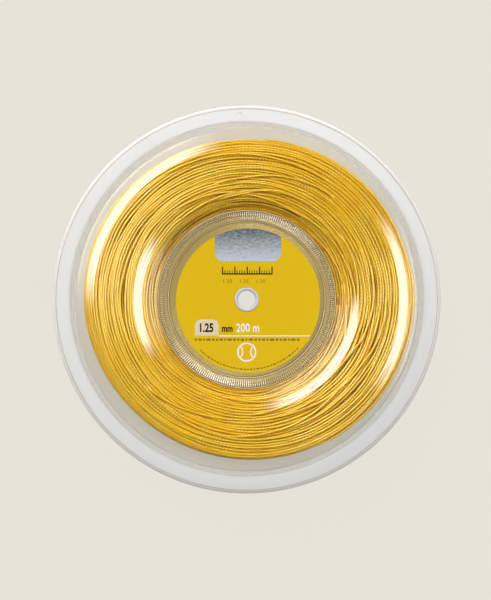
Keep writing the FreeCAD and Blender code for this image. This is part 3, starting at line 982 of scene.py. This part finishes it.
def rim_strands(sizes, winding, seed):
    """Paths of the turns on the winding's outer surface and of those just under them."""
    rng = np.random.default_rng(seed)
    d = winding.string_d
    low = dome_drop(sizes, winding.outer_r, sizes.wall + winding.side_gap) + d / 2 + winding.edge_sink * 0.7
    span = sizes.width - 2 * low
    turns = int(span / (d * RIM_SPACING))
    bundles = Bundles(rng, winding.wander * 0.8, span / turns, turns, RIM_DRAWN, waves=7)
    crossings = []
    for _ in range(RIM_CROSSINGS):
        start, end = rng.uniform(d, span - d), rng.uniform(d, span - d)
        sweep = rng.uniform(1.6, 3.6)
        stations = int(sweep * RIM_POINTS_A_RADIAN)
        crossings.append(crossing(start, end, rng.uniform(0, TAU), sweep, stations))

    def on_rim(angle, place, level):
        return round_axis(edge_radius(winding, angle) + level, angle, low + place)

    paths = []
    for angles, place, up in crossings:
        paths.append(on_rim(angles, place, up * d * 0.75 - (1 - up) * d))
    for layer in range(2):
        total = np.arange(0, turns * TAU, TAU / RIM_POINTS_A_TURN)
        place = span * total / total[-1]
        stray = winding.stray * soft_noise(rng, total, 9, 1.4)
        give = push_down(total, place, crossings, d * 1.5)
        drift, crowd, _ = bundles.at(place, total)
        aside = (drift * (1 - 0.4 * layer) + stray) * off_ends(place, span, 2 * d)
        moved = np.clip(place + aside + layer * d / 2, 0, span)
        level = leapfrog(total, crowd, d) * (1 - layer) - layer * winding.layer_step - give * d * 0.4
        paths.append(on_rim(total, moved, level))
    return paths


def loose_turn(sizes, winding):
    """The last turn on the right, which stands a little apart from the others."""
    d = winding.string_d
    angle = np.linspace(math.radians(LOOSE_FROM), math.radians(LOOSE_TO), LOOSE_POINTS)
    t = (angle - angle[0]) / (angle[-1] - angle[0])
    apart = eased(off_ends(t, 1, LOOSE_CLIMB))
    r = edge_radius(winding, angle) - 0.6 * d + apart * 1.9 * d
    z = sizes.width - dome_drop(sizes, r, sizes.wall) - d - winding.edge_sink - (1 - apart) * d
    return [round_axis(r, angle, z)]


def inner_turns(sizes, winding):
    """The first layer, wound on the barrel, which the clear hub shows from inside."""
    d = winding.string_d
    r = sizes.barrel_r + FIRST_OFF_BARREL + d / 2
    low = dome_drop(sizes, r, sizes.wall + winding.side_gap) + d / 2 + winding.ride_up + winding.barrel_sink
    span = sizes.width - 2 * low
    total = np.arange(0, int(span / d) * TAU, TAU / 120)
    return [round_axis(r, total, low + span * total / total[-1])]


def core_outline(sizes, winding):
    """Closed section of the string that lies deep under the seen turns."""
    depth = sizes.wall + winding.side_gap + 4.2 * MM
    inner, outer = sizes.barrel_r + 4 * MM, winding.outer_r - 4.6 * MM
    span = winding.outer_r - sizes.barrel_r
    front = [(r, sizes.width - dome_drop(sizes, r, depth) - face_sink(winding, r - sizes.barrel_r, span))
             for r in np.linspace(inner, outer, 48)]
    rear = [(r, sizes.width - z) for r, z in reversed(front)]
    return front + rear


class REEL_OT_winding(bpy.types.Operator):
    """The string: its two faces under the flanges, its outer surface and what lies below."""

    bl_idname = "reel.winding"
    bl_label = "Winding"

    def execute(self, context):
        sizes, winding = context.scene.reel_sizes, context.scene.reel_winding
        finishes = context.scene.reel_finishes
        nub_glint = finishes.string_nub_glint
        gold = string_material("gold_string", finishes.string, finishes.string_side_shade, nub_glint)
        outside = string_material("outer_string", finishes.string, finishes.string_rim_shade, nub_glint)
        radius = winding.string_d / 2
        shade = grained_material("shaded_string", finishes.core, roughness=0.6, grain_scale=1200.0, grain=0.3)
        layers = {"front_face": (face_strands(sizes, winding, FRONT_SEED, front=True), "string_pack"),
                  "rear_face": (face_strands(sizes, winding, REAR_SEED, front=False), "string_pack"),
                  "outer": (rim_strands(sizes, winding, RIM_SEED), "string_turns")}
        for place, (strands, node) in layers.items():
            parts = {"crossings": strands[:-2], "turns": strands[-2:-1], "turns_below": strands[-1:]}
            for part, paths in parts.items():
                tubes = tube_mesh(part, paths, radius, faces_up=place != "outer")
                finished(tubes, f"{place}_{part}", outside if place == "outer" else gold, "string", node)
        loose = tube_mesh("loose", loose_turn(sizes, winding), radius)
        finished(loose, "loose_turn", gold, "string", "string_turns")
        first = tube_mesh("first", inner_turns(sizes, winding), radius, faces_up=False)
        finished(first, "first_layer", gold, "string", "string_pack")
        core = spun(core_outline(sizes, winding), steps=120)
        finished(smoothed(core), "deep_turns", shade, "string_core", "string_pack")
        gathered("strings", *(obj for obj in context.scene.objects
                              if obj.type == "MESH" and obj.active_material in (gold, outside)))
        return {"FINISHED"}


# Hub

# Widths of the spindle tube's wall and of its collar, and the bevel of the bore's mouths
TUBE_WALL = 1.75 * MM
COLLAR_W = 1.75 * MM
MOUTH_BEVEL = 0.7 * MM
# Bends of the tube's section, small at its edges and wider at its end faces
TUBE_EDGE = 0.2 * MM
TUBE_END = 0.45 * MM


class REEL_OT_hub(bpy.types.Operator):
    """Clear barrel inside the winding, and the spindle tube with its rounded mouths."""

    bl_idname = "reel.hub"
    bl_label = "Hub"

    def execute(self, context):
        sizes = context.scene.reel_sizes
        inner = sizes.barrel_r - sizes.barrel_wall
        corners = [(inner, BARREL_LOW.z), (sizes.barrel_r, BARREL_LOW.z),
                   (sizes.barrel_r, BARREL_HIGH.z), (inner, BARREL_HIGH.z)]
        barrel = smoothed(spun(rounded(corners, [SMALL_BEND] * 4), steps=180))
        # The barrel's gold tint is painted light from the string.
        clear = clear_material("clear_barrel", context.scene.reel_finishes.barrel, roughness=0.03)
        finished(barrel, "barrel_clear", clear, "clear_plastic", "barrel")
        barrel.visible_diffuse = False
        barrel.visible_glossy = False

        outer = sizes.bore_r + TUBE_WALL
        collar = outer + COLLAR_W
        shoulder = sizes.floor_drop + sizes.wall + 0.05 * MM
        mouth = sizes.bore_r + MOUTH_BEVEL
        low, high = TUBE_LOW.z, TUBE_HIGH.z
        corners_and_bends = [
            ((mouth, low), TUBE_EDGE),
            ((outer, low), TUBE_END),
            ((outer, shoulder), 0),
            ((collar, shoulder), TUBE_EDGE),
            ((collar, sizes.width - shoulder), TUBE_EDGE),
            ((outer, sizes.width - shoulder), 0),
            ((outer, high), TUBE_END),
            ((mouth, high), TUBE_EDGE),
            ((sizes.bore_r, high - MOUTH_BEVEL), TUBE_EDGE),
            ((sizes.bore_r, low + MOUTH_BEVEL), TUBE_EDGE),
        ]
        corners, bends = zip(*corners_and_bends)
        tube = smoothed(spun(rounded(corners, bends), steps=120), degrees=35)
        pale = grained_material("hub_plastic", context.scene.reel_finishes.hub, roughness=0.28,
                                grain_scale=400.0, grain=0.05, coat=0.4)
        finished(tube, "spindle_tube_moulded", pale, "hub_plastic", "spindle_tube")
        return {"FINISHED"}


# Labels

INK_H = 0.02 * MM
# Height of a figure for each unit of the letter size, in Blender's own font
FIGURE_SHARE = 0.70
# The rest is in millimetres from the label's middle. Ruler: left end, right end, foot and line width
RULER = (-13.5, 12.6, 13.4, 0.7)
TICK_COUNT = 21
TICK_STEP = 1.278
# Tall ticks, every fifth one, and the low ones: height and width
TALL_TICK = (4.1, 0.62)
LOW_TICK = (2.2, 0.36)
# Row of dashes: left end, right end, foot, head and the gap between two dashes
DASH_ROW = (-27.5, 26.6, -20.75, -19.6, 0.75)
DASH_WIDTHS = (1.1, 1.7, 0.9, 2.2, 1.3)
# Broken line round the label's lower edge: radius, line width, start and end in degrees
EDGE_LINE = (35.5, 0.7, 226.0, 315.0)
# White line under the figures: left end, foot, head and how far it stops short of the label's edge
RULE = (-15.1, -18.45, -18.0, 0.4)
FIGURES_FOOT = -16.1
# Plain ball: middle, radius and line width. Its seams: centres off the ball's, radius, line width, half angle
BALL = ((-0.7, -26.6), 4.6, 0.75)
SEAM = (6.4, 4.3, 0.6, 43)
# Corners of the tab, from its lower left one, and the bend of its two upper ones
TAB = [(-27.5, -18.2), (-15.1, -18.2), (-15.1, -9.7), (-27.5, -9.7)]
TAB_BEND = 3.2


def plates(name, outlines, foot):
    """Thin closed plates of ink, one for each outline, standing on the height foot."""
    mesh = bpy.data.meshes.new(name)
    verts, faces = [], []
    for outline in outlines:
        area = sum(a[0] * b[1] - b[0] * a[1] for a, b in zip(outline, outline[1:] + outline[:1]))
        outline = outline if area > 0 else outline[::-1]
        n, base = len(outline), len(verts)
        verts += [(x, y, foot) for x, y in outline] + [(x, y, foot + INK_H) for x, y in outline]
        faces.append([base + i for i in reversed(range(n))])
        faces.append([base + n + i for i in range(n)])
        faces += [[base + i, base + (i + 1) % n, base + n + (i + 1) % n, base + n + i] for i in range(n)]
    mesh.from_pydata(verts, [], faces)
    return in_scene(name, mesh)


def bar(x0, y0, x1, y1):
    return [(x0, y0), (x1, y0), (x1, y1), (x0, y1)]


def arc_bar(centre, radius, start, end, width, count=16):
    """Outline of a thin curved bar."""
    return (arc_points(centre, radius + width / 2, start, end, count)
            + arc_points(centre, radius - width / 2, end, start, count))


def row_of_dashes():
    """Outlines of a row of uneven dashes, and of a broken line of the same dashes round the lower edge."""
    left, right, foot, head, gap = DASH_ROW
    dashes = []
    x = left
    while x < right:
        width = DASH_WIDTHS[len(dashes) % len(DASH_WIDTHS)]
        dashes.append(bar(x, foot, x + width, head))
        x += width + gap
    radius, line, turn, last = EDGE_LINE
    while turn < last:
        sweep = 1.3 * DASH_WIDTHS[len(dashes) % len(DASH_WIDTHS)]
        dashes.append(arc_bar((0, 0), radius, turn, turn + sweep, line, 5))
        turn += sweep + 1.0
    return dashes


def ruler():
    """Outlines of a ruler's line and its ticks, which start a little inside the line."""
    left, right, foot, line = RULER
    outlines = [bar(left, foot, right, foot + line)]
    tick_foot = foot + line - 0.1
    for i in range(TICK_COUNT):
        height, width = TALL_TICK if i % 5 == 0 else LOW_TICK
        x = left + i * TICK_STEP
        outlines.append(bar(x, tick_foot, x + width, foot + height))
    return outlines


def ball():
    """Outlines of a plain ball with two curved seams."""
    (x, y), radius, line = BALL
    off, seam_r, seam_line, half = SEAM
    halves = [arc_bar((x, y), radius, start, start + 180, line, 24) for start in (0, 180)]
    seams = [arc_bar((x + side * off, y), seam_r, middle - half, middle + half, seam_line, 12)
             for side, middle in ((1, 180), (-1, 0))]
    return halves + seams


def written(words, height, x, y, stretch=1.0, bold=0.0):
    """Plain figures as a thin closed mesh, from their lower left corner, all in metres."""
    nothing_selected()
    bpy.ops.object.text_add()
    obj = bpy.context.active_object
    obj.data.body = words
    obj.data.size = height / FIGURE_SHARE
    obj.data.offset = bold
    obj.data.extrude = INK_H / 2
    obj.data.resolution_u = 3
    bpy.ops.object.convert(target="MESH")
    obj = bpy.context.active_object
    for vertex in obj.data.vertices:
        vertex.co = (x + vertex.co.x * stretch, y + vertex.co.y, LABEL_HIGH.z + INK_H / 2 + vertex.co.z)
    return obj


class REEL_OT_labels(bpy.types.Operator):
    """Paper labels with their plain print, and the silver patch."""

    bl_idname = "reel.labels"
    bl_label = "Labels"

    def execute(self, context):
        finishes = context.scene.reel_finishes
        paper = grained_material("yellow_paper", finishes.label, roughness=0.6, grain_scale=1500.0,
                                 grain=0.03, gloss=0.12)
        foil = foil_material(finishes.foil)
        for node, material in (("front_label", paper), ("rear_label", paper), ("foil_patch", foil)):
            frame["nodes"][node].data.materials.clear()
            frame["nodes"][node].data.materials.append(material)

        cx = (LABEL_LOW.x + LABEL_HIGH.x) / 2
        cy = (LABEL_LOW.y + LABEL_HIGH.y) / 2
        radius = (LABEL_HIGH.x - LABEL_LOW.x) / 2

        def inked(name, outlines, foot=LABEL_HIGH.z):
            placed = [[(cx + x * MM, cy + y * MM) for x, y in outline] for outline in outlines]
            return plates(name, placed, foot)

        def figures(words, height, x, y, stretch, bold=0.0):
            return written(words, height * MM, cx + x * MM, cy + y * MM, stretch, bold * MM)

        black = [inked("ticks", ruler()),
                 figures("1.25", 4.3, -25.6, FIGURES_FOOT, 0.74, 0.22),
                 figures("mm", 3.6, -13.6, FIGURES_FOOT, 0.72, 0.18)]
        ink = grained_material("black_ink", finishes.ink, roughness=0.6, grain_scale=900.0,
                               grain=0.1, gloss=0.1)
        finished(joined(black), "label_print_black", ink, "label_paper")

        faint = [figures("1.20    1.25    1.30", 1.9, -13.4, 9.1, 1.12), inked("dashes", row_of_dashes())]
        small = grained_material("faint_ink", finishes.faint_ink, roughness=0.6, grain_scale=900.0,
                                 grain=0.1, gloss=0.1)
        finished(joined(faint), "label_print_small", small, "label_paper")

        left, foot, head, short = RULE
        at_tab_foot = math.sqrt((radius / MM) ** 2 - TAB[0][1] ** 2)
        right = at_tab_foot - short
        white = [inked("marks", [bar(left, foot, right, head), *ball()]),
                 figures("200 m", 4.3, -6.2, FIGURES_FOOT, 0.78, 0.08)]
        pale = grained_material("white_ink", finishes.white_ink, roughness=0.5, grain_scale=900.0, grain=0.02)
        finished(joined(white), "label_print_white", pale, "label_paper")

        tab = rounded(TAB, [0, 0, TAB_BEND, TAB_BEND], 6)
        tab_plate = inked("tab", [tab], LABEL_HIGH.z - INK_H / 2)
        finished(tab_plate, "label_tab", tab_material(finishes.tab, finishes.label), "label_paper")
        return {"FINISHED"}


# Stage

# Lit panels round the reel, in degrees: azimuth and half width, from and to off the vertical, softness, level
PANELS = (
    (141.0, 34.0, 17.5, 24.8, 0.8, 6.8),
    (141.0, 36.0, 25.5, 38.0, 1.5, 1.1),
    (358.5, 26.5, 17.5, 24.8, 0.8, 6.6),
    (358.5, 26.5, 25.5, 38.0, 1.5, 0.8),
)
# Wide lamps that stay out of all gloss: name, azimuth, degrees off the vertical, width and level
SOFT_LAMPS = (
    ("top_light", 95, 62, 35, 0.40),
    ("left_light", 141, 53, 50, 0.48),
    ("right_light", 358.5, 53, 40, 0.31),
)
# Lamps that only show in the strings' gloss: azimuths, then degrees off the vertical, width and level
STRING_LAMP_AZIMUTHS = (124, 156, 358.5)
STRING_LAMP = (57, 38, 1.5)
# Lamps that only show in the cup's ribs: azimuth and shine, each in three widths for a soft end
CUP_LAMPS = ((67, 4.4), (247, 3.4))
CUP_LAMP_WIDTHS = (30, 50, 70)
CUP_LAMP_TILT = 73
# How much of its own colour the floor shows to the camera, and through the clear plastic
FLOOR_SEEN = 0.96
FLOOR_THROUGH = 0.58
# Lens and sensor in millimetres, height over the reel in metres and where the photograph's middle lies
LENS = 698.5
SENSOR_W = 36.0
CAMERA_UP = 6.0
CAMERA_XY = (-0.62 * MM, -0.26 * MM)


def studio_world(floor):
    """Dim surroundings with long softboxes over the reel; the camera sees the floor's colour."""
    world = bpy.data.worlds.new("studio")
    bpy.context.scene.world = world
    world.use_nodes = True
    tree = world.node_tree
    tree.nodes.clear()
    output = tree.nodes.new("ShaderNodeOutputWorld")
    x, y, z = axes(tree, tree.nodes.new("ShaderNodeTexCoord").outputs["Generated"])
    polar = maths(tree, "ARCCOSINE", z)

    def window(value, low, high, soft):
        rise = spread(tree, value, 0.0, 1.0, low - soft, low + soft, "SMOOTHSTEP")
        fall = spread(tree, value, 1.0, 0.0, high - soft, high + soft, "SMOOTHSTEP")
        return maths(tree, "MULTIPLY", rise, fall)

    total = spread(tree, polar, 0.045, 0.14, math.radians(35), math.radians(85), "SMOOTHSTEP")
    for azimuth, half_width, low, high, soft, level in PANELS:
        a = math.radians(azimuth)
        ahead = maths(tree, "ADD", maths(tree, "MULTIPLY", x, math.cos(a)),
                      maths(tree, "MULTIPLY", y, math.sin(a)))
        across = maths(tree, "SUBTRACT", maths(tree, "MULTIPLY", y, math.cos(a)),
                       maths(tree, "MULTIPLY", x, math.sin(a)))
        w = math.radians(half_width)
        sector = window(maths(tree, "ARCTAN2", across, ahead), -w, w, math.radians(10))
        height = window(polar, math.radians(low), math.radians(high), math.radians(soft))
        panel = maths(tree, "MULTIPLY", maths(tree, "MULTIPLY", sector, height), level)
        total = maths(tree, "ADD", total, panel)
    lit = tree.nodes.new("ShaderNodeBackground")
    lit.inputs["Color"].default_value = (1.0, 1.0, 1.0, 1.0)
    tree.links.new(total, lit.inputs["Strength"])
    seen = tree.nodes.new("ShaderNodeBackground")
    seen.inputs["Color"].default_value = (*floor, 1.0)
    by_camera = rays(tree, "Is Camera Ray")
    mixed_shaders(tree, by_camera, lit.outputs["Background"], seen.outputs["Background"], output)


def soft_lamp(name, azimuth, polar, spread_angle, level):
    """A wide, even lamp far away that lights surfaces without showing in their gloss."""
    nothing_selected()
    bpy.ops.object.light_add(type="SUN", rotation=(0, math.radians(polar), math.radians(azimuth)))
    lamp = bpy.context.active_object
    lamp.name = name
    lamp.data.angle = math.radians(spread_angle)
    lamp.data.energy = math.pi * level
    lamp.visible_glossy = False
    lamp.visible_transmission = False
    return lamp


def gloss_lamp(name, azimuth, polar, spread_angle, level, shown_in, through_flange):
    """A wide lamp that only shows in the gloss of one collection, which may lie under the clear flange."""
    lamp = soft_lamp(name, azimuth, polar, spread_angle, level)
    lamp.visible_glossy = True
    lamp.visible_diffuse = False
    lamp.data.cycles.use_multiple_importance_sampling = not through_flange
    lamp.light_linking.receiver_collection = bpy.data.collections[shown_in]


def floor_material(floor):
    """Pale floor, seen by the camera nearly without shade."""
    material, tree, shader, output = new_material("pale_floor")
    grained(tree, shader, floor, noise(tree, places(tree), 200.0), 0.005)
    shader.inputs["Roughness"].default_value = 0.9
    shader.inputs["Specular IOR Level"].default_value = 0.0
    glow = tree.nodes.new("ShaderNodeEmission")
    glow.inputs["Color"].default_value = (*floor, 1.0)
    seen = maths(tree, "MULTIPLY", rays(tree, "Is Camera Ray"), FLOOR_SEEN)
    through = maths(tree, "MULTIPLY", rays(tree, "Is Transmission Ray"), FLOOR_THROUGH)
    share = maths(tree, "ADD", seen, through)
    mixed_shaders(tree, share, shader.outputs["BSDF"], glow.outputs["Emission"], output)
    return material


class REEL_OT_stage(bpy.types.Operator):
    """Pale floor, soft studio light and the camera above the reel."""

    bl_idname = "reel.stage"
    bl_label = "Stage"

    def execute(self, context):
        floor_colour = tuple(context.scene.reel_finishes.floor)
        nothing_selected()
        bpy.ops.mesh.primitive_plane_add(size=12.0, location=(0, 0, -0.3 * MM))
        floor = context.active_object
        floor.name = "floor"
        floor.data.materials.append(floor_material(floor_colour))
        studio_world(floor_colour)
        for lamp in SOFT_LAMPS:
            soft_lamp(*lamp)
        for i, azimuth in enumerate(STRING_LAMP_AZIMUTHS):
            gloss_lamp(f"string_gloss_{i + 1}", azimuth, *STRING_LAMP, "strings", through_flange=True)
        for azimuth, shine in CUP_LAMPS:
            for wide in CUP_LAMP_WIDTHS:
                level = shine * math.sin(math.radians(wide / 2)) ** 2
                name = f"cup_gloss_{azimuth}_{wide}"
                gloss_lamp(name, azimuth, CUP_LAMP_TILT, wide, level, "cup_ribs", through_flange=False)
        camera = bpy.data.cameras.new("camera")
        camera.lens = LENS
        camera.sensor_width = SENSOR_W
        camera.clip_end = 50.0
        view = in_scene("camera", camera)
        view.location = (*CAMERA_XY, context.scene.reel_sizes.width + CAMERA_UP)
        context.scene.camera = view
        context.scene.view_settings.view_transform = "Standard"
        return {"FINISHED"}


class REEL_PT_panel(bpy.types.Panel):
    """Sidebar panel that lists the reel's pieces."""

    bl_idname = "REEL_PT_panel"
    bl_label = "String reel"
    bl_space_type = "VIEW_3D"
    bl_region_type = "UI"
    bl_category = "Reel"

    def draw(self, context):
        for operator in OPERATORS:
            self.layout.operator(operator.bl_idname)
        for group in (context.scene.reel_sizes, context.scene.reel_winding, context.scene.reel_finishes):
            for name in group.__annotations__:
                self.layout.prop(group, name)


GROUPS = {"reel_sizes": ReelSizes, "reel_winding": WindingSizes, "reel_finishes": Finishes}
OPERATORS = (REEL_OT_flanges, REEL_OT_winding, REEL_OT_hub, REEL_OT_labels, REEL_OT_stage)


def register():
    for cls in (*GROUPS.values(), *OPERATORS, REEL_PT_panel):
        bpy.utils.register_class(cls)
    for name, group in GROUPS.items():
        setattr(bpy.types.Scene, name, PointerProperty(type=group))


def unregister():
    for name in GROUPS:
        delattr(bpy.types.Scene, name)
    for cls in reversed((*GROUPS.values(), *OPERATORS, REEL_PT_panel)):
        bpy.utils.unregister_class(cls)


def main():
    """Build the reel and its stage."""
    register()
    bpy.ops.reel.flanges()
    bpy.ops.reel.winding()
    bpy.ops.reel.hub()
    bpy.ops.reel.labels()
    bpy.ops.reel.stage()


if __name__ == "__main__":
    main()
